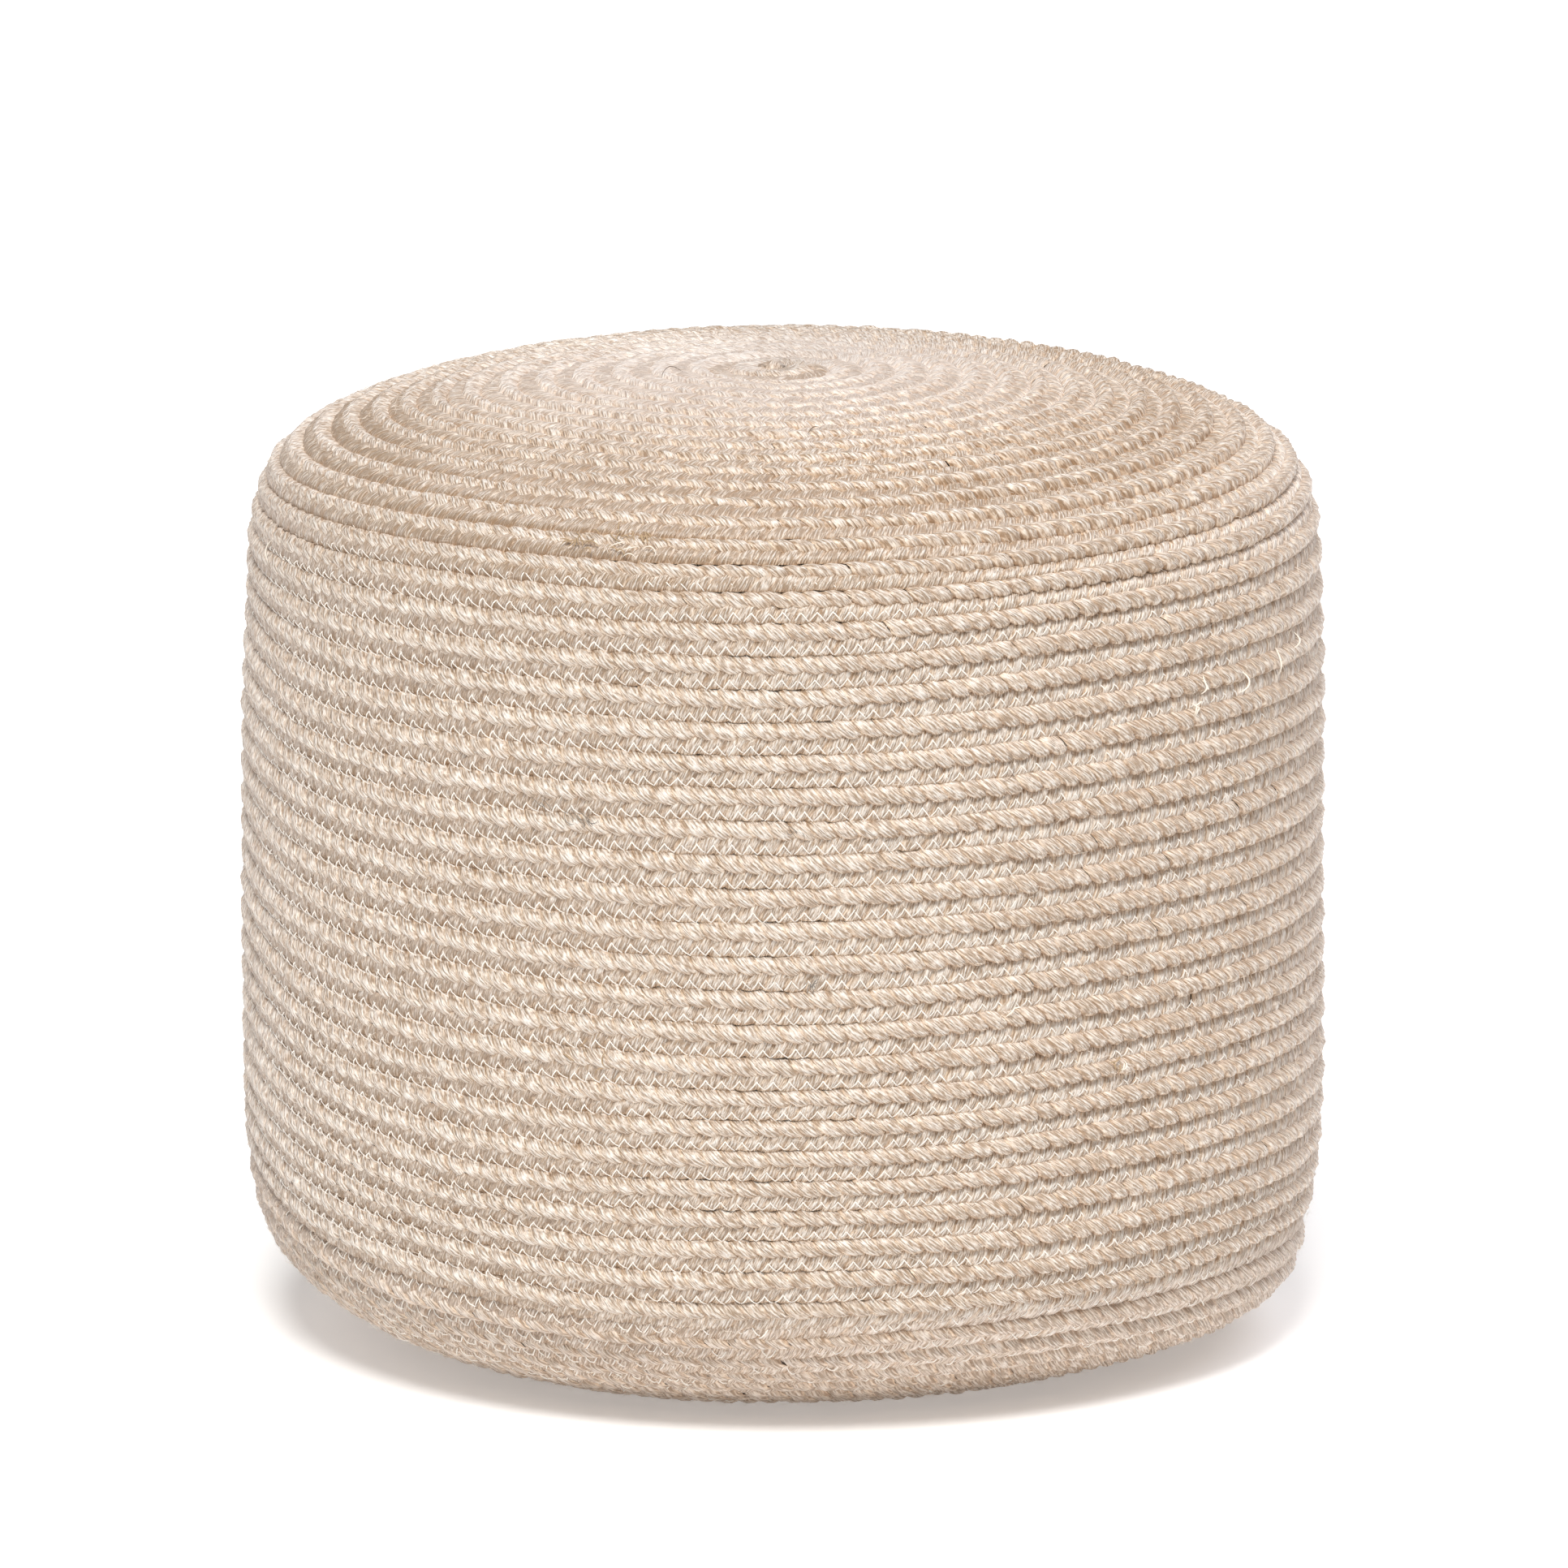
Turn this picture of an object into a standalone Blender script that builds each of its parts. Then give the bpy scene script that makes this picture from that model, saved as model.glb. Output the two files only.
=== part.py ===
"""A round braided pouf: a stuffed body coiled from one flat braid, with a coiled base panel sewn in.

Metres, +Z up, standing on z = 0. The front faces -Y, and angles are measured from it towards +X.
"""

import math

import bmesh
import bpy
import numpy as np
from mathutils import Vector

# Driving dimensions
RADIUS = 0.228
CROWN_RISE = 0.154  # from the widest height up to the top
BELLY_HEIGHT = 0.259  # from the floor up to the widest height
FREE_DEPTH = 0.277  # how deep the foot would reach if it stood on nothing
CROWN_SQUARENESS = 6.5
FOOT_SQUARENESS = 10.2
DISH_DEPTH = 0.004  # the start of the coil sits a little low
DISH_RADIUS = 0.045

BRAID_PITCH = 0.014
CHANNEL_DEPTH = 0.0025
SIDE_ROUNDS = 39.5  # rounds of braid from the centre of the top to the base seam
PANEL_THICKNESS = 0.010
GAP = 0.0003
SEGMENTS = 40
RINGS_PER_ROUND = 2
BASE_RINGS = 6
FINE_STEPS = 6000
MERGE = 0.00002

# Soft dents (+) and bulges (-) left by the stuffing
DENTS = (
    # towards (deg), height, spread (deg), tall, inward
    (-78.0, 0.035, 40.0, 0.050, 0.0090),
    (75.0, 0.040, 35.0, 0.050, -0.0020),
    (150.0, 0.050, 45.0, 0.060, 0.0040),
    (-20.0, 0.190, 60.0, 0.110, -0.0015),
    (110.0, 0.230, 50.0, 0.100, 0.0020),
    (-150.0, 0.300, 50.0, 0.080, 0.0025),
)

# name: sRGB colour, roughness
MATERIALS = {
    "natural_braid": ((0.83, 0.76, 0.67), 0.92),
    "base_braid": ((0.78, 0.71, 0.62), 0.94),
}


def clear_scene():
    for item in list(bpy.data.objects):
        bpy.data.objects.remove(item, do_unlink=True)


def side_outline():
    """Radius and height along the outer skin, from the centre of the top to the floor."""
    turn = 0.5 * math.pi * np.linspace(0.0, 1.0, FINE_STEPS) ** 3
    radius = RADIUS * np.cos(turn)
    crown = CROWN_RISE * np.sin(turn) ** (2.0 / CROWN_SQUARENESS)
    crown -= DISH_DEPTH * np.exp(-((radius / DISH_RADIUS) ** 2))
    foot = FREE_DEPTH * np.sin(turn) ** (2.0 / FOOT_SQUARENESS)
    standing = foot < BELLY_HEIGHT
    radii = np.concatenate([radius[::-1], radius[1:][standing[1:]]])
    heights = BELLY_HEIGHT + np.concatenate([crown[::-1], -foot[1:][standing[1:]]])
    return radii, heights


class Skin:
    """Points on the outer skin by arc length from the top, angle and depth below the skin."""

    def __init__(self):
        self.radii, self.heights = side_outline()
        run = np.hypot(np.diff(self.radii), np.diff(self.heights))
        self.arcs = np.concatenate([[0.0], np.cumsum(run)])
        self.foot_arc = self.arcs[-1]

    def at(self, arc):
        return np.interp(arc, self.arcs, self.radii), np.interp(arc, self.arcs, self.heights)

    def point(self, arc, angle, depth=0.0):
        radius, height = self.at(arc)
        step = 0.002
        before = self.at(max(arc - step, 0.0))
        after = self.at(min(arc + step, self.foot_arc))
        along = Vector((after[0] - before[0], after[1] - before[1])).normalized()
        radius += along.y * depth
        height -= along.x * depth
        return uneven(radius, height, angle)


def uneven(radius, height, angle):
    """Place a point of the round shape, pushed in or out by the dents."""
    inward = 0.0
    for towards, centre, spread, tall, push in DENTS:
        around = (math.degrees(angle) - towards + 180.0) % 360.0 - 180.0
        inward += push * math.exp(-((around / spread) ** 2) - ((height - centre) / tall) ** 2)
    radius -= inward * min(radius / RADIUS, 1.0) ** 2
    return Vector((radius * math.sin(angle), -radius * math.cos(angle), height))


def columns():
    """Angles round the pouf. The coil winds clockwise, seen from above, on its way down."""
    return [-2.0 * math.pi * column / SEGMENTS for column in range(SEGMENTS + 1)]


def ring(skin, arc, depth):
    return [skin.point(arc, angle, depth) for angle in columns()]


def centre_row(height):
    return [Vector((0.0, 0.0, height))] * (SEGMENTS + 1)


def coil_rows(skin, first_arc, last_arc, last_depth):
    """Rows that follow the coil: each round's seam is a channel, and its middle a ridge.

    A row ends where the row one round further begins. Rows are cut off at both ends of the coil,
    where their doubled points are merged later.
    """
    row_count = math.ceil(((last_arc - first_arc) / BRAID_PITCH + 1.0) * RINGS_PER_ROUND) + 1
    rows = []
    for row in range(row_count):
        points = []
        for column, angle in enumerate(columns()):
            rounds = row / RINGS_PER_ROUND - 1.0 + column / SEGMENTS
            arc = first_arc + rounds * BRAID_PITCH
            depth = CHANNEL_DEPTH if row % RINGS_PER_ROUND == 0 else 0.0
            if arc <= first_arc:
                arc, depth = first_arc, CHANNEL_DEPTH
            if arc >= last_arc:
                arc, depth = last_arc, last_depth
            points.append(skin.point(arc, angle, depth))
        rows.append(points)
    return rows


def solid_from_rows(name, rows, material):
    """Bridge rows of points, from pole to pole, into one closed object."""
    shape = bmesh.new()
    grid = [[shape.verts.new(point) for point in row] for row in rows]
    for upper, lower in zip(grid, grid[1:]):
        for column in range(SEGMENTS):
            shape.faces.new((upper[column], upper[column + 1], lower[column + 1], lower[column]))
    bmesh.ops.remove_doubles(shape, verts=shape.verts, dist=MERGE)
    bmesh.ops.dissolve_degenerate(shape, edges=shape.edges, dist=MERGE)
    bmesh.ops.triangulate(shape, faces=shape.faces)
    bmesh.ops.recalc_face_normals(shape, faces=shape.faces)
    mesh = bpy.data.meshes.new(name)
    shape.to_mesh(mesh)
    shape.free()
    mesh.shade_smooth()
    mesh.materials.append(material)
    piece = bpy.data.objects.new(name, mesh)
    bpy.context.scene.collection.objects.link(piece)
    return piece


def make_material(name):
    colour, roughness = MATERIALS[name]
    linear = [((channel + 0.055) / 1.055) ** 2.4 for channel in colour]
    material = bpy.data.materials.new(name)
    material.use_nodes = True
    surface = material.node_tree.nodes["Principled BSDF"]
    surface.inputs["Base Color"].default_value = (*linear, 1.0)
    surface.inputs["Roughness"].default_value = roughness
    surface.inputs["Metallic"].default_value = 0.0
    return material


def base_rings(skin, from_arc, depth):
    """The dished face between the stuffing and the base panel, from its rim in to the floor."""
    arcs = np.linspace(from_arc, skin.foot_arc, BASE_RINGS)
    return [ring(skin, arc, depth) for arc in arcs]


def make_coiled_body(skin, seam_arc):
    last_arc = seam_arc - 0.5 * GAP
    depth = PANEL_THICKNESS + GAP
    rows = [centre_row(skin.heights[0])]
    rows += coil_rows(skin, BRAID_PITCH, last_arc, CHANNEL_DEPTH)
    rows += base_rings(skin, last_arc, depth)
    rows.append(centre_row(depth))
    return solid_from_rows("coiled_body", rows, make_material("natural_braid"))


def make_base_panel(skin, seam_arc):
    first_arc = seam_arc + 0.5 * GAP
    rows = [centre_row(PANEL_THICKNESS)]
    rows += reversed(base_rings(skin, first_arc, PANEL_THICKNESS))
    rows += coil_rows(skin, first_arc, skin.foot_arc, 0.0)
    rows.append(centre_row(0.0))
    return solid_from_rows("base_panel", rows, make_material("base_braid"))


def main():
    clear_scene()
    skin = Skin()
    seam_arc = SIDE_ROUNDS * BRAID_PITCH
    make_coiled_body(skin, seam_arc)
    make_base_panel(skin, seam_arc)


main()
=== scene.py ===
import math

import bmesh
import bpy
import numpy as np
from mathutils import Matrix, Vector


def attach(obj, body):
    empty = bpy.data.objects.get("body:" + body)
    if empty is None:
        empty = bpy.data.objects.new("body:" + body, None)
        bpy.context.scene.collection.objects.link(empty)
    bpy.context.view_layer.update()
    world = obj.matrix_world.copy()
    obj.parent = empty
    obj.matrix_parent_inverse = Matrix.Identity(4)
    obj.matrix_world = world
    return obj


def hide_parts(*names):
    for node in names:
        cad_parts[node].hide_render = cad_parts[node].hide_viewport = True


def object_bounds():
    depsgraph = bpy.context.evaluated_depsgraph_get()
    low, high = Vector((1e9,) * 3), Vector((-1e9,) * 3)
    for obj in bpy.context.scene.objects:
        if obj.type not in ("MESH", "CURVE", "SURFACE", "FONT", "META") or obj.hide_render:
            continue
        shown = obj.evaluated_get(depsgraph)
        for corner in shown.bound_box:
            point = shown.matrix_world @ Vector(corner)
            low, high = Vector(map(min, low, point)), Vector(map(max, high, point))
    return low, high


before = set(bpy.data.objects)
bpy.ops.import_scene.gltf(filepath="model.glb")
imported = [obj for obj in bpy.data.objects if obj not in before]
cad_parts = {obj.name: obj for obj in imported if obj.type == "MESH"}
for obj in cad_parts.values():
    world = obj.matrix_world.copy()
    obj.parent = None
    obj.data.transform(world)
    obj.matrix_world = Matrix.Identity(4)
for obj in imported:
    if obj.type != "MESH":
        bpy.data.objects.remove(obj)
cadLow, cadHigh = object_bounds()
height = cadHigh.z - cadLow.z
fullTurn = 2.0 * math.pi
print("frame loaded, pouf height", round(height, 4))


def limited(value):
    return np.clip(value, 0.0, 1.0)


def bell(value, middle, width):
    return np.exp(-(((value - middle) / width) ** 2))


def ramp(value, steepness, start=0.0):
    return limited(steepness * value - start)


# The stuffed form, as shares of its height. Angles run from the front (-Y) towards +X.
pouf = {
    "radius": 0.5552 * height,
    "crownRise": 0.3703 * height,  # from the widest height up to the top
    "bellyHeight": 0.6306 * height,  # from the floor up to the widest height
    "freeDepth": 0.6623 * height,  # how deep the foot would reach if it stood on nothing
    "crownSquareness": 6.7,
    "footSquareness": 10.3,
    # the middle of the top stands up a little inside a shallow ring
    "middleRise": 0.0037 * height,
    "middleRadius": 0.1096 * height,
    "ringDepth": 0.0055 * height,
    "ringRadius": 0.055 * height,
    "ringWidth": 0.026 * height,
    "overFloor": 0.0003,
    # soft dents (+) and bulges (-): towards (deg), height, spread (deg), tall, inward
    "dents": (
        (-75.0, 0.020, 35.0, 0.024, 0.0016),
        (-80.0, 0.045, 40.0, 0.018, -0.0008),
        (-25.0, 0.015, 35.0, 0.024, 0.0010),
        (25.0, 0.015, 35.0, 0.024, 0.0090),
        (75.0, 0.015, 35.0, 0.024, -0.0170),
        (150.0, 0.050, 45.0, 0.060, 0.0040),
        (-20.0, 0.190, 60.0, 0.110, -0.0015),
        (110.0, 0.230, 50.0, 0.100, 0.0020),
        (-150.0, 0.300, 50.0, 0.080, 0.0025),
        (0.0, 0.322, 500.0, 0.030, 0.0020),
        (0.0, 0.380, 500.0, 0.015, -0.0046),
    ),
    "finePoints": 6000,
    "basePoints": 400,
    "evenPoints": 3000,
    "softening": 31,
}


def outline():
    # Radius and height along the skin, from the middle of the top to the middle of the base.
    turn = 0.5 * math.pi * np.linspace(0.0, 1.0, pouf["finePoints"]) ** 3
    radius = pouf["radius"] * np.cos(turn)
    crown = pouf["crownRise"] * np.sin(turn) ** (2.0 / pouf["crownSquareness"])
    crown += pouf["middleRise"] * bell(radius, 0.0, pouf["middleRadius"])
    crown -= pouf["ringDepth"] * bell(radius, pouf["ringRadius"], pouf["ringWidth"])
    foot = pouf["freeDepth"] * np.sin(turn) ** (2.0 / pouf["footSquareness"])
    standing = foot < pouf["bellyHeight"]
    base = np.linspace(radius[standing][-1], 0.0, pouf["basePoints"])[1:]
    radii = np.concatenate([radius[::-1], radius[1:][standing[1:]], base])
    heights = [crown[::-1], -foot[1:][standing[1:]], np.full(len(base), -pouf["bellyHeight"])]
    return radii, np.concatenate(heights) + pouf["bellyHeight"]


skinRadii, skinHeights = outline()
skinArcs = np.concatenate([[0.0], np.cumsum(np.hypot(np.diff(skinRadii), np.diff(skinHeights)))])
skinEnd = skinArcs[-1]
evenArcs = np.linspace(0.0, skinEnd, pouf["evenPoints"])
evenRadii = np.interp(evenArcs, skinArcs, skinRadii)
evenHeights = np.interp(evenArcs, skinArcs, skinHeights)


def softened(values):
    # A running average, so that the way the skin faces turns smoothly round the shoulder and the foot.
    weights = np.hanning(pouf["softening"]) / np.hanning(pouf["softening"]).sum()
    half = pouf["softening"] // 2
    longer = np.concatenate([np.full(half, values[0]), values, np.full(half, values[-1])])
    return np.convolve(longer, weights, "valid")


alongRadius = softened(np.gradient(evenRadii, evenArcs))
alongHeight = softened(np.gradient(evenHeights, evenArcs))


def onSkin(arc, angle, out):
    # Points at these distances over the skin from the middle of the top, standing out from it.
    arc = np.clip(arc, pouf["overFloor"], skinEnd - pouf["overFloor"])
    radius = np.interp(arc, evenArcs, evenRadii)
    level = np.interp(arc, evenArcs, evenHeights)
    facingOut = -np.interp(arc, evenArcs, alongHeight)
    facingUp = np.interp(arc, evenArcs, alongRadius)
    share = limited(radius / pouf["radius"]) ** 2
    for towards, middle, spread, tall, inward in pouf["dents"]:
        around = (np.degrees(angle) - towards + 180.0) % 360.0 - 180.0
        radius = radius - share * inward * np.exp(-((around / spread) ** 2) - ((level - middle) / tall) ** 2)
    radius = radius + facingOut * out
    level = np.maximum(level + facingUp * out, pouf["overFloor"])
    return np.stack([radius * np.sin(angle), -radius * np.cos(angle), level], -1)


# The braid: one flat three-strand plait, coiled clockwise from the middle of the top to that of the base.
braid = {
    "pitch": 0.0339 * height,
    "lobeSpacing": 0.0086,
    "firstRound": 0.22,
    "topRounds": 14.0,
    "sideRounds": 40.0,
    "endTowards": 100.0,  # where the side ends and the base starts (deg)
    "startShift": 0.38,  # pitches by which the coil starts before the middle of the top
    "endShift": 0.5,  # and ends short of the middle of the base, the last bit of it tucked in
    "endTucked": 0.004,
    "tightestRow": 0.3,  # the first row's least radius, in pitches
    "finePoints": 60000,
}

# How the rounds wander. Distances over the skin are in metres.
drift = {
    # they crowd together on the left, towards a height that stays, and at the foot
    "crowding": 0.08, "crowdMiddle": 1.474 * pouf["radius"], "crowdFrom": 0.12,
    "footCrowding": 0.055, "footRound": 31.5,
    # on the side they drop on the right and rise on the left, in pitches
    "sideRound": 15.0, "sideOver": 6.0, "rightDrop": 0.25, "leftRise": 0.75, "leftLean": 0.08,
    "fade": 0.15,  # all of this fades over this last distance to the middle of the base
    # ripples: how high, how many around, how fast down, where they start
    "waves": ((1.0, 2.0, 31.0, 0.7), (0.7, 5.0, -47.0, 2.1), (0.5, 9.0, 83.0, 4.0)),
    "waveHeight": 0.00045, "waveFrom": 0.10,
    "slack": ((0.0011, 3.0, 60.0, 0.0), (0.0009, 7.0, -40.0, 0.0)),
    "slackAt": (0.54, 0.05),  # the lowest rounds lie slack
}


def ripples(rows, arc, angle):
    return sum(tall * np.sin(around * angle + down * arc + start) for tall, around, down, start in rows)


def warpedArc(arc, angle):
    # Where a row of an even coil really lies.
    pitch = braid["pitch"]
    left = limited(-np.sin(angle))
    right = limited(np.sin(angle))
    onSide = limited((arc / pitch - drift["sideRound"]) / drift["sideOver"])
    crowded = (arc - drift["crowdMiddle"]) * left ** 4 * limited(arc / drift["crowdFrom"])
    moved = arc - drift["crowding"] * crowded
    moved -= drift["footCrowding"] * np.maximum(arc - drift["footRound"] * pitch, 0.0)
    shift = drift["rightDrop"] * right ** 10 - drift["leftRise"] * left ** 10 - drift["leftLean"] * left
    moved += pitch * onSide * shift
    moved = arc + (moved - arc) * limited((skinEnd - arc) / drift["fade"])
    moved += drift["waveHeight"] * ripples(drift["waves"], arc, angle) * limited(arc / drift["waveFrom"])
    return moved + ripples(drift["slack"], arc, angle) * bell(arc, *drift["slackAt"])


lastTurn = fullTurn * (skinEnd / braid["pitch"] - braid["endShift"])
turns = np.linspace(0.0, lastTurn, braid["finePoints"])
seamArcs = braid["pitch"] * (turns / fullTurn - braid["startShift"])
rowArcs = seamArcs + 0.5 * braid["pitch"]
rowRadii = np.maximum(np.interp(rowArcs, evenArcs, evenRadii), braid["tightestRow"] * braid["pitch"])
turnLengths = np.concatenate([[0.0], np.cumsum(0.5 * (rowRadii[1:] + rowRadii[:-1]) * np.diff(turns))])
print("braid length", round(float(turnLengths[-1]), 1), "m")


def layOnCoil(length, along, across, out):
    # Places points given by how far along the braid they lie, across it and out from it.
    turn = np.interp(length, turnLengths, turns)
    turn = turn + along / np.interp(turn, turns, rowRadii)
    arc = warpedArc(np.interp(turn, turns, seamArcs) + across, -turn)
    return onSkin(arc, -turn, out)


def lengthAt(rounds):
    return float(np.interp(fullTurn * rounds, turns, turnLengths))


def roundsAt(length):
    return np.interp(length, turnLengths, turns) / fullTurn


# From the shoulder down the plait rolls about its own line: tipped under on the left, standing off on the
# right. How soon that shows in the strands' shape on each side, and in their painted shade and light.
rolling = {"fromRound": 9.0, "over": 5.0, "left": 1.3, "right": 1.6, "shade": 1.8, "litShade": -0.2}

# Where the yarn is rubbed, and where painted shade and painted light are put into its colour. Shades count up
# towards the browner tone.
wearAndShade = {
    # the rubbed top and sides are flattened, with more sheen, and with pale painted sheen and painted row
    # shade in their colour
    "topRounds": 10.0, "topFade": 6.0,  # the top is rubbed flat and fluffy, and fades into the shoulder
    "sidesWornAndSheen": 0.5, "sidesFrom": 0.8, "sidesRound": 12.0, "sidesFade": 4.0,  # its two sides, less so
    # painted shade on the shoulder and low on the foot, and painted light far on the foot's left
    "shoulder": (12.5, 3.5), "shoulderFade": 1.1,  # round and spread; it fades towards left and right
    "footRound": 33.0, "footFade": 5.0, "foot": 0.15, "footShade": 0.35, "footShadeAt": (-0.05, 0.25),
    "footLitLeft": (2.5, 1.0),  # how steeply the painted foot shade gives way to painted light on the left, and from where
    "middle": 0.8, "middleFresh": 0.8,  # the coil's two ends are browner, and hardly rubbed
    # painted shade by half, on the shoulder and where rubbed; the rubbed upper halves are painted lighter
    "upper": {"shoulder": 0.25, "rubbedAndSheen": -0.6},
    "lower": {"shoulder": 2.0, "rubbedAndSheen": 1.9},
}


def rollAt(length):
    # From tipped under (-1) to standing off (1).
    rounds = roundsAt(length)
    return -np.sin(fullTurn * rounds) * limited((rounds - rolling["fromRound"]) / rolling["over"])


def rubbedAndSheenAt(length):
    # From as good as new (0) to rubbed flat (1). The same share also sets the pale painted sheen in the
    # colour, and the painted shade between the rounds on the top.
    rounds = roundsAt(length)
    top = limited((wearAndShade["topRounds"] - rounds) / wearAndShade["topFade"])
    sideways = np.abs(np.sin(fullTurn * rounds))
    sidesWornAndSheen = limited((sideways - wearAndShade["sidesFrom"]) / (1.0 - wearAndShade["sidesFrom"]))
    sidesWornAndSheen = sidesWornAndSheen * limited((rounds - wearAndShade["sidesRound"]) / wearAndShade["sidesFade"])
    return np.maximum(top, wearAndShade["sidesWornAndSheen"] * sidesWornAndSheen ** 2)


def sRgb(code):
    channels = [int(code[place:place + 2], 16) / 255.0 for place in (1, 3, 5)]
    linear = [c / 12.92 if c <= 0.04045 else ((c + 0.055) / 1.055) ** 2.4 for c in channels]
    return (*linear, 1.0)


def addNode(material, kind, settings=None, links=None):
    node = material.node_tree.nodes.new(kind)
    for key, value in (settings or {}).items():
        if isinstance(key, int) or key in node.inputs:
            node.inputs[key].default_value = value
        else:
            setattr(node, key, value)
    for key, source in (links or {}).items():
        material.node_tree.links.new(source, node.inputs[key])
    return node


def newMaterial(name, sockets):
    material = bpy.data.materials.new(name)
    material.use_nodes = True
    surface = material.node_tree.nodes["Principled BSDF"]
    for socket, value in sockets.items():
        surface.inputs[socket].default_value = sRgb(value) if isinstance(value, str) else value
    return material, surface


# Soft-spun undyed wool and cotton, plied loosely: long streaks of fibre with a dull silky gloss along them.
yarn = {
    # tufts of fibre in millimetres, drawn coarser than real ones so that they show
    "tuftLong": 4.7619, "tuftWide": 0.689655, "tuftHigh": 1.5,
    # painted highlight on the fibre crests, the yarn's own tone, painted shade in the hollows between fibres
    "side": ("#FFF7ED", "#E0CDBA", "#AA8D6E"),
    "base": ("#FBEEE2", "#DFCBB8", "#AA8D70"),
    "contrast": 3.5, "contrastShift": -1.36, "toneShare": 0.2,
    # a pale pink mixed into the colour where rubbed: painted sheen
    "paintedSheen": "#DED3CF", "paintedSheenShare": 0.2,
    # a warm tone multiplied into the strands' edges and ends: painted warm shade in the crevices
    "paintedCreaseShade": "#FFEED6",
    "veil": 0.22, "rubbedVeil": 0.60,
    "sockets": {"Roughness": 0.5, "Anisotropic": 0.95, "Anisotropic Rotation": 0.25, "IOR": 1.7,
                "Specular IOR Level": 1.0, "Sheen Roughness": 0.75, "Sheen Tint": "#FFF3EC"},
}


def woolCotton(name, tonesAndShades):
    material, surface = newMaterial(name, yarn["sockets"])
    place = addNode(material, "ShaderNodeUVMap", {"uv_map": "fibres"})
    tufts = (1000.0 / yarn["tuftLong"], 1000.0 / yarn["tuftWide"], 1.0)
    squeeze = addNode(material, "ShaderNodeMapping", {"Scale": tufts}, {0: place.outputs[0]})
    streak = addNode(material, "ShaderNodeTexNoise",
                     {"noise_dimensions": "2D", "Scale": 1.0, "Detail": 2.0, "Roughness": 0.55},
                     {"Vector": squeeze.outputs[0]})
    # Each strand has its own tone, a little lighter or browner than the next, with painted shade and painted
    # light added to it.
    toneAndShade = addNode(material, "ShaderNodeAttribute", {"attribute_name": "toneAndShade"})
    spread = addNode(material, "ShaderNodeMath",
                     {"operation": "MULTIPLY_ADD", 1: yarn["contrast"], 2: yarn["contrastShift"]},
                     {0: streak.outputs[0]})
    blend = addNode(material, "ShaderNodeMath", {"operation": "MULTIPLY_ADD", 1: yarn["toneShare"]},
                    {0: toneAndShade.outputs[2], 2: spread.outputs[0]})
    # The streaks' light end is a painted highlight on the fibre crests and their dark end is painted shade
    # between the fibres; the same streaks also drive the bump.
    colours = addNode(material, "ShaderNodeValToRGB", None, {0: blend.outputs[0]})
    light, middle, dark = tonesAndShades
    colours.color_ramp.elements[0].color = sRgb(dark)
    colours.color_ramp.elements[1].color = sRgb(light)
    colours.color_ramp.elements.new(0.5).color = sRgb(middle)
    # Where it is rubbed the yarn is mixed towards a paler, pinker tone: painted sheen, a pale haze of light
    # on the rubbed top and on the two sides.
    rubbedAndSheen = addNode(material, "ShaderNodeAttribute", {"attribute_name": "rubbedAndSheen"})
    paintedSheenShare = addNode(material, "ShaderNodeMath", {"operation": "MULTIPLY", 1: yarn["paintedSheenShare"]},
                     {0: rubbedAndSheen.outputs[2]})
    paintedSheen = addNode(material, "ShaderNodeMixRGB", {2: sRgb(yarn["paintedSheen"])},
                    {0: paintedSheenShare.outputs[0], 1: colours.outputs[0]})
    # Painted warm shade: the edges and ends of each strand, where the crevices between strands lie, are
    # multiplied towards a warmer, slightly darker tone than its crest.
    paintedCreaseShade = addNode(material, "ShaderNodeAttribute", {"attribute_name": "paintedCreaseShade"})
    warmed = addNode(material, "ShaderNodeMixRGB", {"blend_type": "MULTIPLY", 2: sRgb(yarn["paintedCreaseShade"])},
                     {0: paintedCreaseShade.outputs[2], 1: paintedSheen.outputs[0]})
    bump = addNode(material, "ShaderNodeBump", {"Strength": 1.0, "Distance": 0.001 * yarn["tuftHigh"]},
                   {"Height": streak.outputs[0]})
    tangent = addNode(material, "ShaderNodeTangent", {"direction_type": "UV_MAP", "uv_map": "fibres"})
    # Loose fibre ends catch a soft pale veil of light, most where the yarn is rubbed.
    veil = addNode(material, "ShaderNodeMath",
                   {"operation": "MULTIPLY_ADD", 1: yarn["rubbedVeil"], 2: yarn["veil"]},
                   {0: rubbedAndSheen.outputs[2]})
    reached = {"Base Color": warmed, "Normal": bump, "Tangent": tangent, "Sheen Weight": veil}
    for socket, node in reached.items():
        material.node_tree.links.new(node.outputs[0], surface.inputs[socket])
    return material


def plainYarn(name, code, roughness):
    return newMaterial(name, {"Base Color": code, "Roughness": roughness})[0]


sideYarn = woolCotton("softSpunYarn", yarn["side"])
# The same yarn under the pouf, a shaded copy: its painted highlight and middle tone are a little duller.
baseYarn = woolCotton("softSpunYarnBase", yarn["base"])
# Hard-twisted, polished sewing cotton: paler than the yarn, with a clean dull shine.
threadCotton = plainYarn("polishedCottonThread", "#FDF7EE", 0.5)
# The braid's buried side, seen only deep in a seam: dark brown as painted shade, with no shine at all.
seamShadeYarn = plainYarn("seamShadeYarn", "#96836C", 1.0)
# Single wool fibres, which let light through and so look almost white.
looseWool = plainYarn("looseWool", "#F6EADB", 0.6)
print("yarns made")


def placed(name, data):
    piece = bpy.data.objects.new(name, data)
    bpy.context.scene.collection.objects.link(piece)
    return piece


def settled(piece):
    # Every piece rides on the pouf's one body.
    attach(piece, "root")
    print(piece.name, "has", len(piece.data.polygons), "faces")


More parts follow.
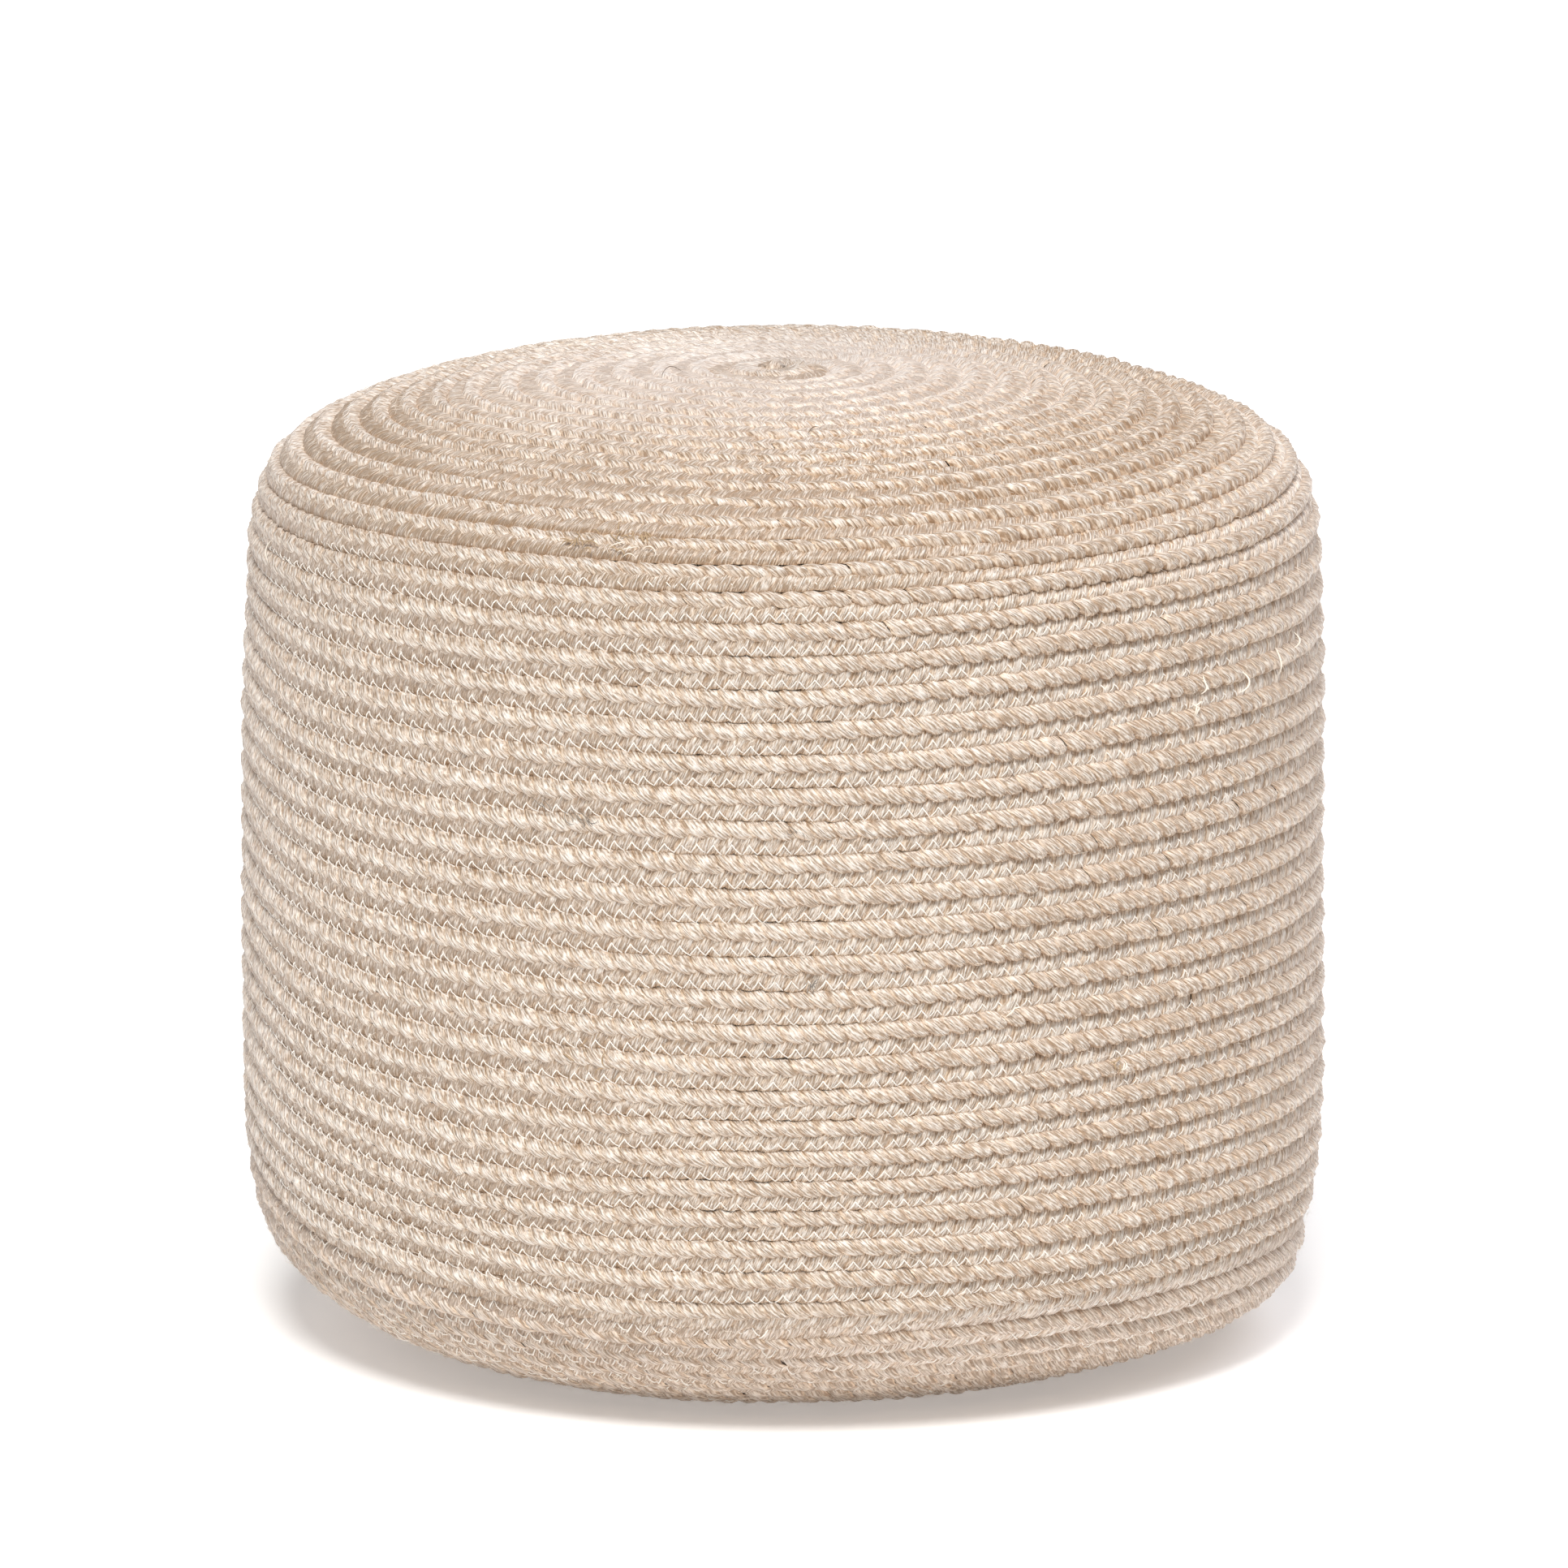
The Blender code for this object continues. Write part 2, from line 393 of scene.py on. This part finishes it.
def smallGrid(across, along, size):
    # The points and faces of a grid, which are bent into a strand, a stitch, a fibre or a tube.
    shape = bmesh.new()
    bmesh.ops.create_grid(shape, x_segments=across, y_segments=along, size=size)
    spots = np.array([vertex.co[:2] for vertex in shape.verts])
    faces = np.array([[vertex.index for vertex in face.verts] for face in shape.faces])
    shape.free()
    return spots, faces


def joinedMesh(name, points, faces, fibres, material, tonesAndShades=1.0, rubbedAndSheen=0.0, paintedCreaseShade=0.0):
    # Copies of one small shape, joined into one object.
    count, size = points.shape[:2]
    allFaces = (faces[None] + (np.arange(count) * size)[:, None, None]).reshape(-1, faces.shape[1])
    mesh = bpy.data.meshes.new(name)
    mesh.from_pydata(points.reshape(-1, 3), [], allFaces)
    mesh.shade_smooth()
    layer = mesh.uv_layers.new(name="fibres")
    layer.uv.foreach_set("vector", fibres.reshape(-1, 2)[allFaces.ravel()].astype(np.float32).ravel())
    whole = np.zeros((count, size))
    for label, values in (("toneAndShade", tonesAndShades), ("rubbedAndSheen", rubbedAndSheen), ("paintedCreaseShade", paintedCreaseShade)):
        layer = mesh.attributes.new(label, "FLOAT", "POINT")
        layer.data.foreach_set("value", (values + whole).astype(np.float32).ravel())
    mesh.materials.append(material)
    return placed(name, mesh)


strand = {
    "down": 6,
    "around": 4,
    "seed": 11,
    # Metres down from the round's upper edge, and degrees seen from outside. Each half has its strands'
    # lean, the way their fibres lie, half their width, where they start (top) and end (tip), where they
    # stand highest (crest) and how high (level), how far they curve above it (rise) and below it (fall)
    # and by how much (riseDrop, fallDrop), how much higher the top stands (slope), one edge lower (tilt),
    # both edges lower (round), the end dipping under (tuck) and drawn in at its corners (sag). Folded is
    # how far it reaches under at the coil's two ends, and shade how much painted shade browns it when rolled
    # away.
    "upper": {
        "lean": -54.0, "fibres": -41.0, "half": 0.0055, "rise": 0.0044, "fall": 0.0040, "tilt": 0.0006,
        "top": -0.0014, "tip": 0.0096, "crest": 0.0058, "level": 0.0004, "slope": 0.0, "riseDrop": 0.0036,
        "fallDrop": 0.0026, "round": 0.0019, "tuck": 0.0022, "sag": 0.0015, "folded": 0.0060, "shade": 0.7,
        "rubbedAndSheen": {"riseDrop": -0.0010, "tuck": 0.0006, "round": 0.0003},
        "left": {"top": -0.0003, "tip": 0.0005, "crest": -0.0008, "level": -0.0003, "riseDrop": -0.0006,
                 "fallDrop": -0.0011, "tuck": -0.0012, "sag": -0.0004},
        "right": {"top": 0.0006, "tip": 0.0006, "crest": -0.0016, "level": 0.0005, "riseDrop": -0.0002,
                  "fallDrop": -0.0008, "round": 0.0005, "tuck": 0.0030, "sag": 0.0010},
    },
    "lower": {
        "lean": 58.0, "fibres": 67.0, "half": 0.0056, "rise": 0.0038, "fall": 0.0044, "tilt": 0.0003,
        "top": 0.0066, "tip": 0.0154, "crest": 0.0109, "level": -0.0014, "slope": 0.03, "riseDrop": 0.0012,
        "fallDrop": 0.0009, "round": 0.0018, "tuck": 0.0007, "sag": 0.0006, "folded": 0.0, "shade": -1.5,
        "rubbedAndSheen": {"tuck": 0.0010, "tip": 0.0003, "round": 0.0003},
        "left": {"crest": -0.0003, "level": 0.0001, "riseDrop": -0.0009, "slope": 0.14, "fallDrop": 0.0013,
                 "tuck": -0.0004},
        "right": {"tip": 0.0004, "crest": -0.0002, "level": -0.0006, "slope": -0.10, "riseDrop": 0.0024,
                  "fallDrop": -0.0008, "tuck": 0.0002},
    },
    "uneven": {"lean": 3.0, "half": 0.05, "tip": 0.00022, "along": 0.0003, "out": 0.0002, "fibres": 3.0},
    "fan": 0.5, "fanRadius": 0.035,  # how much wider the strands fan out on the tightest rounds
    "ends": 0.11,  # metres of braid over which the coil's two ends are folded under
    "baseOverlap": 0.0018,
    "rubbedFlat": 0.45,
    "roundPower": 2.2, "tuckPower": 12.0,  # how abruptly the edges lower, and the end dips under
    "highest": 1.3,  # past this share of its rise a strand runs flat under the round above
}


def shapesAlong(half, roll, rubbedAndSheen):
    # Each strand's own sizes, by how the plait is rolled and rubbed there.
    sizes = strand[half]
    shape = {key: size + np.zeros_like(roll) for key, size in sizes.items() if not isinstance(size, dict)}
    ways = {"left": -rolling["left"] * roll, "right": rolling["right"] * roll, "rubbedAndSheen": rubbedAndSheen}
    for way, much in ways.items():
        for key, change in sizes[way].items():
            shape[key] = shape[key] + change * limited(much)
    return shape


def shadesAlong(half, roll, rubbedAndSheen, rounds, atEnds):
    # Painted shade: the half that the roll turns away from the light is darker and browner, the other a
    # little lighter.
    shade = strand[half]["shade"]
    away = rolling["shade"] * roll * np.sign(shade)
    shades = abs(shade) * (limited(away) + rolling["litShade"] * limited(-away))
    # Painted shade on the shoulder, the lower halves most; it fades towards left and right.
    shoulder = bell(rounds, *wearAndShade["shoulder"]) * (1.0 - wearAndShade["shoulderFade"] * roll ** 2)
    # Where rubbed, the lower halves are painted darker and the upper halves lighter: painted shade and light
    # between the rounds.
    shades = shades + (wearAndShade[half]["shoulder"] * shoulder + wearAndShade[half]["rubbedAndSheen"] * rubbedAndSheen)
    # Painted shade low on the foot, most at the front, giving way to painted light far on the left.
    shadedFoot = wearAndShade["foot"] + wearAndShade["footShade"] * bell(roll, *wearAndShade["footShadeAt"])
    shadedFoot = shadedFoot - wearAndShade["footShade"] * ramp(-roll, *wearAndShade["footLitLeft"])
    shadedFoot = shadedFoot * limited((rounds - wearAndShade["footRound"]) / wearAndShade["footFade"])
    return shades + wearAndShade["middle"] * atEnds + shadedFoot


def braidPiece(name, firstLength, lastLength, material, onBase, random):
    # Both halves of the plait between two lengths of the braid.
    spacing = braid["lobeSpacing"]
    uneven = strand["uneven"]
    spots, faces = smallGrid(strand["around"], strand["down"], 1.0)
    across = spots[None, :, 0]
    share = 0.5 + 0.5 * np.sin(0.5 * math.pi * spots[None, :, 1])
    # Painted crease shade: the strand's edges and ends, where the crevices between strands lie.
    paintedCreaseShade = np.maximum(np.abs(across[0]) ** 3, np.abs(2.0 * share[0] - 1.0) ** 4)
    groups = []
    for half, offset in (("upper", 0.0), ("lower", 0.5)):
        sizes = strand[half]
        starts = np.arange(math.ceil(firstLength / spacing), math.ceil(lastLength / spacing))
        count = len(starts)
        lengths = (starts + offset) * spacing
        rounds = roundsAt(lengths)
        roll = rollAt(lengths)
        rubbedAndSheen = rubbedAndSheenAt(lengths)
        atEnds = bell(np.minimum(lengths, braidEnd - lengths), 0.0, strand["ends"])
        shape = shapesAlong(half, roll[:, None], rubbedAndSheen[:, None])
        shape["top"] = shape["top"] - shape["folded"] * atEnds[:, None]
        shape["tip"] = shape["tip"] + (strand["baseOverlap"] if onBase else 0.0)
        lean = np.radians(sizes["lean"] + random.normal(0.0, uneven["lean"], (count, 1)))
        tight = limited(strand["fanRadius"] / np.interp(lengths, turnLengths, rowRadii) - 0.5)
        wide = 1.0 + random.normal(0.0, uneven["half"], (count, 1))
        u = across * sizes["half"] * (1.0 + strand["fan"] * tight[:, None]) * wide
        tip = shape["tip"] + random.normal(0.0, uneven["tip"], (count, 1))
        tip = tip - shape["sag"] * (u / (0.5 * spacing)) ** 2
        down = shape["top"] + share * (tip - shape["top"])
        x = u - (down - 0.5 * (sizes["top"] + sizes["tip"])) / np.tan(lean)
        x = x + random.normal(0.0, uneven["along"], (count, 1))
        # The plait is rounded across its width as well as across each strand.
        above = np.clip((shape["crest"] - down) / shape["rise"], 0.0, strand["highest"])
        below = np.maximum(down - shape["crest"], 0.0) / shape["fall"]
        out = shape["level"] - shape["slope"] * (down - shape["crest"])
        out = out - shape["riseDrop"] * above ** 2.0 - shape["fallDrop"] * below ** 2.0
        out = out * (1.0 - strand["rubbedFlat"] * rubbedAndSheen[:, None] ** 2) - shape["tilt"] * across
        out = out - shape["round"] * np.abs(across) ** strand["roundPower"]
        out = out - shape["tuck"] * share ** strand["tuckPower"]
        out = out + random.normal(0.0, uneven["out"], (count, 1))
        turn = math.radians(sizes["fibres"])
        fibre = x * math.cos(turn) - down * math.sin(turn)
        side = -x * math.sin(turn) - down * math.cos(turn)
        away = random.uniform(-uneven["fibres"], uneven["fibres"], (count, 1, 2))
        if onBase:
            # There the other face of the plait shows.
            x = -x
            down = braid["pitch"] - down
        # The coil runs right to left in front, so a step to the viewer's right goes back along it.
        points = layOnCoil(lengths[:, None], -x, down, out)
        # A random tone for each strand, less its painted shade.
        tonesAndShades = random.uniform(0.0, 1.0, count) - shadesAlong(half, roll, rubbedAndSheen, rounds, atEnds)
        rubbedAndSheen = rubbedAndSheen * (1.0 - wearAndShade["middleFresh"] * atEnds)
        groups.append((points, np.stack([fibre, side], -1) + away, tonesAndShades, rubbedAndSheen))
    points, fibres, tonesAndShades, rubbedAndSheen = [np.concatenate(values) for values in zip(*groups)]
    return joinedMesh(name, points, faces[:, ::-1], fibres, material, tonesAndShades[:, None], rubbedAndSheen[:, None], paintedCreaseShade)


random = np.random.default_rng(strand["seed"])
topEnd = lengthAt(braid["topRounds"])
sideEnd = lengthAt(braid["sideRounds"] - braid["endTowards"] / 360.0)
braidStart = lengthAt(braid["firstRound"])
braidEnd = float(turnLengths[-1]) - braid["endTucked"]
sideThird = (sideEnd - topEnd) / 3.0
sections = [("braid_top", braidStart, topEnd)]
for part, label in enumerate(("braid_shoulder", "braid_waist", "braid_foot")):
    sections.append((label, topEnd + part * sideThird, topEnd + (part + 1) * sideThird))
for label, first, last in sections:
    settled(braidPiece(label, first, last, sideYarn, False, random))
baseBraid = braidPiece("braid_base", sideEnd, braidEnd, baseYarn, True, random)
settled(baseBraid)
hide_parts("base_panel")

# The stuffing and the buried side of the braid, just under the strands, so no gap shows through; its dark
# brown is painted shade for the deep seams.
form = {"around": 160, "along": 120, "deep": 0.0060, "merge": 0.0006,
        "middleRise": 0.0018, "middleEdge": 0.12, "middleOver": 0.06}


def stuffedForm():
    shape = bmesh.new()
    bmesh.ops.create_grid(shape, x_segments=form["around"], y_segments=form["along"], size=1.0)
    for vertex in shape.verts:
        arc = 0.5 * (vertex.co.y + 1.0) * skinEnd
        rise = form["middleRise"] * limited((form["middleEdge"] - arc) / form["middleOver"])
        vertex.co = onSkin(np.array(arc), math.pi * vertex.co.x, rise - form["deep"])
    bmesh.ops.remove_doubles(shape, verts=shape.verts, dist=form["merge"])
    bmesh.ops.recalc_face_normals(shape, faces=shape.faces)
    mesh = bpy.data.meshes.new("stuffed_form")
    shape.to_mesh(mesh)
    shape.free()
    mesh.shade_smooth()
    mesh.materials.append(seamShadeYarn)
    return placed("stuffed_form", mesh)


stuffing = stuffedForm()
settled(stuffing)
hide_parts("coiled_body")

# The zigzag thread that joins each round to the last, in metres above and below the seam.
zigzag = {
    "spacing": 0.0069, "above": 0.0031, "below": 0.0007, "thick": 0.0005, "reach": 0.46, "uneven": 0.0002,
    "unevenPeaks": 0.0003,
    "onSide": (-0.0004, 0.0003), "onBase": (-0.0018, 0.0008),  # how high it lies, and how unevenly
    # how far, how steeply with the plait's roll, and from what roll on
    "leftDragged": (0.0016, 1.5, 0.0),  # the peaks are pulled back along the seam
    "leftLifted": (0.0007, 2.0, 0.0),  # and stand a little higher there
    "rightClosed": (0.0011, 4.0, 0.8),  # the seam closes over it
    "sidesClosed": (0.0025, 6.0, 4.9),
    "openRound": 36.5, "openOver": 1.5, "open": 0.9,  # at the foot the right side's seams gape again
    # metres of braid over which the yarn on the top has fluffed up over it, by how much, how steeply that
    # ends, and from what share of those metres on there is thread at all
    "fluffy": 11.5, "fluffHeight": 0.0030, "fluffEnds": 4.0, "firstShown": 0.9,
    "peakDive": 0.3, "overlap": 1.06, "ridge": 0.0003, "endDive": 0.0012, "endShare": 0.4,
}


def stitches(name, firstLength, lastLength, onBase, random):
    # Each stitch is two straight bars with a raised middle line, whose ends dive into the yarn.
    spots, faces = smallGrid(3, 2, 0.5)
    along = zigzag["overlap"] * spots[None, :, 0]
    across = spots[None, :, 1]
    dive = zigzag["ridge"] * (1.0 - 2.0 * np.abs(across))
    dive = dive - zigzag["endDive"] * (np.abs(along) > zigzag["endShare"])
    count = int((lastLength - firstLength) / zigzag["spacing"])
    starts = firstLength + np.arange(count)[:, None] * zigzag["spacing"]
    rounds = roundsAt(starts)
    roll = rollAt(starts)
    uneven = zigzag["uneven"]
    tall = zigzag["above"] + zigzag["below"]
    rolled = {"leftDragged": -roll, "leftLifted": -roll, "rightClosed": roll, "sidesClosed": np.abs(roll)}
    dragged, lifted, rightClosed, sidesClosed = [
        zigzag[label][0] * ramp(value, *zigzag[label][1:]) for label, value in rolled.items()]
    gaping = zigzag["open"] * limited((rounds - zigzag["openRound"]) / zigzag["openOver"])
    fluffed = zigzag["fluffHeight"] * limited(1.0 + zigzag["fluffEnds"] * (1.0 - starts / zigzag["fluffy"]))
    peak = random.normal(0.0, zigzag["unevenPeaks"], (count, 1))
    groups = []
    for side in (1.0, -1.0):
        # side 1 falls to the viewer's right of the peak, side -1 to its left
        reach = zigzag["reach"] * zigzag["spacing"] + random.normal(0.0, uneven, (count, 1))
        bar = np.hypot(reach, tall)
        high = -zigzag["above"] + random.normal(0.0, uneven, (count, 1))
        low = zigzag["below"] + random.normal(0.0, uneven, (count, 1))
        share = along + 0.5
        x = peak + side * reach * share + across * zigzag["thick"] * tall / bar
        y = high + (low - high) * share - across * zigzag["thick"] * side * reach / bar
        x = x - dragged * (1.0 - share)
        out = random.normal(*zigzag["onBase" if onBase else "onSide"], (count, 1))
        out = out - rightClosed * (1.0 - gaping) - sidesClosed + lifted - fluffed
        out = out - zigzag["peakDive"] * (y + zigzag["above"])
        groups.append(layOnCoil(starts, x if onBase else -x, -y if onBase else y, out + dive))
    points = np.concatenate(groups)
    fibres = np.stack([along, across], -1) + np.zeros((len(points), 1, 2))
    return joinedMesh(name, points, faces, fibres, threadCotton)


firstStitch = zigzag["firstShown"] * zigzag["fluffy"]
settled(stitches("zigzag_side", firstStitch, sideEnd, False, random))
settled(stitches("zigzag_base", sideEnd, braidEnd, True, random))

# Loose fibre ends that stand off the yarn all over.
fuzz = {"count": 26000, "reach": (0.0025, 0.0070), "lift": (0.0006, 0.0028), "width": 0.00016, "taper": 0.7,
        "curl": 0.6, "arch": 1.4, "rooted": 0.0004, "seed": 5}


def looseFibres(name, random):
    spots, faces = smallGrid(1, 2, 0.5)
    share = spots[None, :, 1] + 0.5
    count = fuzz["count"]
    spin = random.uniform(0.0, fullTurn, (count, 1))
    twist = random.uniform(0.0, fullTurn, (count, 1))
    reach = random.uniform(*fuzz["reach"], (count, 1)) * share
    bend = spin + random.normal(0.0, fuzz["curl"], (count, 1)) * share
    edge = spots[None, :, 0] * fuzz["width"] * (1.0 - fuzz["taper"] * share)
    x = reach * np.cos(bend) - edge * np.sin(spin) * np.cos(twist)
    y = reach * np.sin(bend) + edge * np.cos(spin) * np.cos(twist)
    out = random.uniform(*fuzz["lift"], (count, 1)) * share ** fuzz["arch"]
    out = out + edge * np.sin(twist) - fuzz["rooted"]
    length = random.uniform(braidStart, braidEnd, (count, 1))
    across = random.uniform(0.0, braid["pitch"], (count, 1))
    points = layOnCoil(length, x, across + y, out)
    fibres = np.stack([0.004 * share, 0.0 * share], -1) + np.zeros((count, 1, 2))
    return joinedMesh(name, points, faces, fibres, looseWool)


settled(looseFibres("loose_fibres", np.random.default_rng(fuzz["seed"])))

# Yarn ends, thread loops and strays. Each spot has: towards (deg), distance over the skin from the middle
# of the top, how many, scatter, reach, thickness, heading (deg, seen from outside), its spread, and how
# high they stand.
strays = {
    # ends of the yarn itself, worked loose: browner, because they come from inside the ply
    "yarn_ends": {"yarn": "looseYarn", "colour": "#B49A7A", "seed": 5, "spots": (
        (-19.5, 0.2125, 12, 0.0075, 0.0070, 0.0006, -25.0, 45.0, 0.0010),
        (-15.5, 0.2080, 9, 0.0050, 0.0060, 0.0007, -30.0, 40.0, 0.0011),
        (-23.5, 0.2150, 6, 0.0050, 0.0060, 0.0006, 10.0, 50.0, 0.0009),
        (-21.0, 0.4297, 4, 0.0060, 0.0060, 0.0006, -30.0, 40.0, 0.0007),
        (37.0, 0.4412, 3, 0.0020, 0.0060, 0.0008, 60.0, 40.0, 0.0014))},
    # dark fleece spun in with the pale: short grey flecks
    "grey_ends": {"yarn": "greyFleece", "colour": "#8A8178", "seed": 4, "spots": (
        (-21.0, 0.3310, 9, 0.0035, 0.0080, 0.0003, -42.0, 12.0, 0.0006),
        (-26.0, 0.3270, 4, 0.0030, 0.0060, 0.0003, -40.0, 12.0, 0.0006),
        (1.2, 0.3313, 3, 0.0030, 0.0060, 0.0003, -38.0, 14.0, 0.0006),
        (2.5, 0.3972, 7, 0.0022, 0.0050, 0.0004, 60.0, 16.0, 0.0005))},
    # pulled loops of the sewing cotton: the palest thing on the pouf
    "thread_loops": {"yarn": "pulledCottonThread", "colour": "#F8EFE0", "seed": 9, "spots": (
        (49.5, 0.2898, 2, 0.0008, 0.0080, 0.0009, 95.0, 25.0, 0.0026),
        (56.8, 0.2933, 1, 0.0003, 0.0120, 0.0010, 80.0, 8.0, 0.0030),
        (64.2, 0.2908, 1, 0.0003, 0.0120, 0.0009, 85.0, 8.0, 0.0030),
        (69.5, 0.2853, 1, 0.0003, 0.0090, 0.0009, 88.0, 8.0, 0.0030),
        (48.2, 0.2975, 4, 0.0030, 0.0060, 0.0007, 45.0, 50.0, 0.0018),
        (37.5, 0.4420, 2, 0.0015, 0.0060, 0.0007, 80.0, 30.0, 0.0020),
        (24.5, 0.4127, 2, 0.0015, 0.0060, 0.0006, 30.0, 40.0, 0.0016),
        (-73.0, 0.2500, 1, 0.0005, 0.0130, 0.0006, 92.0, 3.0, 0.0012),
        (-18.0, 0.2150, 4, 0.0060, 0.0080, 0.0005, 5.0, 25.0, 0.0012))},
    # single coarse guard hairs of the fleece: thin dark lines
    "dark_hairs": {"yarn": "guardHair", "colour": "#6B5746", "seed": 4, "spots": (
        (6.0, 0.1094, 1, 0.0005, 0.0100, 0.00035, 55.0, 3.0, 0.0014),
        (-73.5, 0.0495, 1, 0.0005, 0.0120, 0.00035, 100.0, 3.0, 0.0030),
        (24.2, 0.3103, 1, 0.0005, 0.0130, 0.00025, 92.0, 3.0, 0.0010),
        (-12.0, 0.4040, 1, 0.0010, 0.0060, 0.00025, 30.0, 20.0, 0.0010))},
}


bits = {"around": 5, "along": 9, "lengths": (0.7, 1.2), "bend": 0.9, "thinEnd": 0.1, "full": 0.4,
        "rooted": 0.0006}


def smallTube(around, along):
    # A grid rolled into a tube: its last column is its first.
    spots, faces = smallGrid(around, along, 1.0)
    column = np.round(0.5 * (spots[:, 0] + 1.0) * around).astype(int) % around
    row = np.round(0.5 * (spots[:, 1] + 1.0) * along).astype(int)
    places = np.arange(around * (along + 1))
    ring = fullTurn * (places % around) / around
    return ring[None], (places // around)[None] / along, (row * around + column)[faces]


def yarnBits(name, material, spots, random):
    # Short bent lengths of yarn, thickest in the middle, that arch over the skin.
    ring, share, faces = smallTube(bits["around"], bits["along"])
    groups = []
    for towards, arc, count, scatter, reach, thick, heading, spread, stand in spots:
        length = reach * random.uniform(*bits["lengths"], (count, 1))
        bend = random.normal(0.0, bits["bend"], (count, 1))
        turn = np.radians(random.normal(heading, spread, (count, 1))) + bend * (share - 0.5)
        x = random.normal(0.0, scatter, (count, 1)) + length * (share - 0.5) * np.cos(turn)
        y = 0.5 * random.normal(0.0, scatter, (count, 1)) + length * (share - 0.5) * np.sin(turn)
        swell = np.sin(math.pi * share) ** bits["full"]
        fat = 0.5 * thick * (bits["thinEnd"] + (1.0 - bits["thinEnd"]) * swell)
        x = x - fat * np.cos(ring) * np.sin(turn)
        y = y + fat * np.cos(ring) * np.cos(turn)
        out = stand * np.sin(math.pi * share) - bits["rooted"] + fat * np.sin(ring)
        radius = float(np.interp(arc, evenArcs, evenRadii))
        groups.append(onSkin(arc - y, math.radians(towards) + x / radius, out))
    points = np.concatenate(groups)
    fibres = np.stack([0.01 * share, 0.0002 * ring], -1) + np.zeros((len(points), 1, 2))
    return joinedMesh(name, points, faces, fibres, material)


for label, kind in strays.items():
    strayYarn = plainYarn(kind["yarn"], kind["colour"], 0.8)
    piece = yarnBits(label, strayYarn, kind["spots"], np.random.default_rng(kind["seed"]))
    settled(piece)

# Studio: a sheet of matt white paper, and a camera a long way off that looks down a little.
studio = {
    "floorHalf": 6.0, "paper": "#F4F4F4", "glow": 0.26,
    "elevation": 12.5, "distance": 7.32, "lens": 400.0, "sensor": 36.0, "aim": 0.5637 * height,
    # a key high in front, a fill from the right and a faint rim light behind each side:
    # towards (deg), height (deg), spread (deg), power, colour
    "lights": {
        "softKey": (-7.0, 55.5, 20.0, 2.9, (1.0, 0.99, 0.97)),
        "softFill": (92.0, 60.0, 40.0, 1.0, (0.935, 0.93, 0.995)),
        "softRimLeft": (-105.0, 42.0, 50.0, 0.3, (0.92, 0.94, 1.0)),
        "softRimRight": (125.0, 45.0, 50.0, 0.35, (0.92, 0.94, 1.0)),
    },
    "surround": 0.16,
}


def direction(towards, elevation):
    turn = math.radians(towards)
    climb = math.radians(elevation)
    return Vector((math.cos(climb) * math.sin(turn), -math.cos(climb) * math.cos(turn), math.sin(climb)))


def studioFloor():
    shape = bmesh.new()
    bmesh.ops.create_grid(shape, x_segments=1, y_segments=1, size=studio["floorHalf"])
    mesh = bpy.data.meshes.new("studio_floor")
    shape.to_mesh(mesh)
    shape.free()
    # The matt sheet glows a little, as if lit from below as well, which keeps the shadow light.
    paper = {"Base Color": studio["paper"], "Roughness": 1.0,
             "Emission Color": "#FFFFFF", "Emission Strength": studio["glow"]}
    mesh.materials.append(newMaterial("mattPaper", paper)[0])
    return placed("studio_floor", mesh)


def softLight(name, towards, elevation, spread, power, colour):
    # A broad soft light far away, so the floor is lit evenly.
    light = bpy.data.lights.new(name, "SUN")
    light.angle = math.radians(spread)
    light.energy = power
    light.color = colour
    lamp = placed(name, light)
    lamp.location = 3.0 * direction(towards, elevation)
    lamp.rotation_mode = "QUATERNION"
    lamp.rotation_quaternion = direction(towards, elevation).to_track_quat("Z", "Y")


studioFloor()
for label, settings in studio["lights"].items():
    softLight(label, *settings)

world = bpy.data.worlds.new("paleSurround")
world.use_nodes = True
world.node_tree.nodes["Background"].inputs[0].default_value = sRgb("#FFFFFF")
world.node_tree.nodes["Background"].inputs[1].default_value = studio["surround"]
bpy.context.scene.world = world
bpy.context.scene.view_settings.view_transform = "Standard"

lens = bpy.data.cameras.new("studioCamera")
lens.lens = studio["lens"]
lens.sensor_width = studio["sensor"]
lens.clip_end = 50.0
camera = placed("studioCamera", lens)
aim = Vector((0.0, 0.0, studio["aim"]))
camera.location = aim + studio["distance"] * direction(0.0, studio["elevation"])
camera.rotation_mode = "QUATERNION"
camera.rotation_quaternion = (aim - camera.location).to_track_quat("-Z", "Y")
bpy.context.scene.camera = camera
print("studio set up")
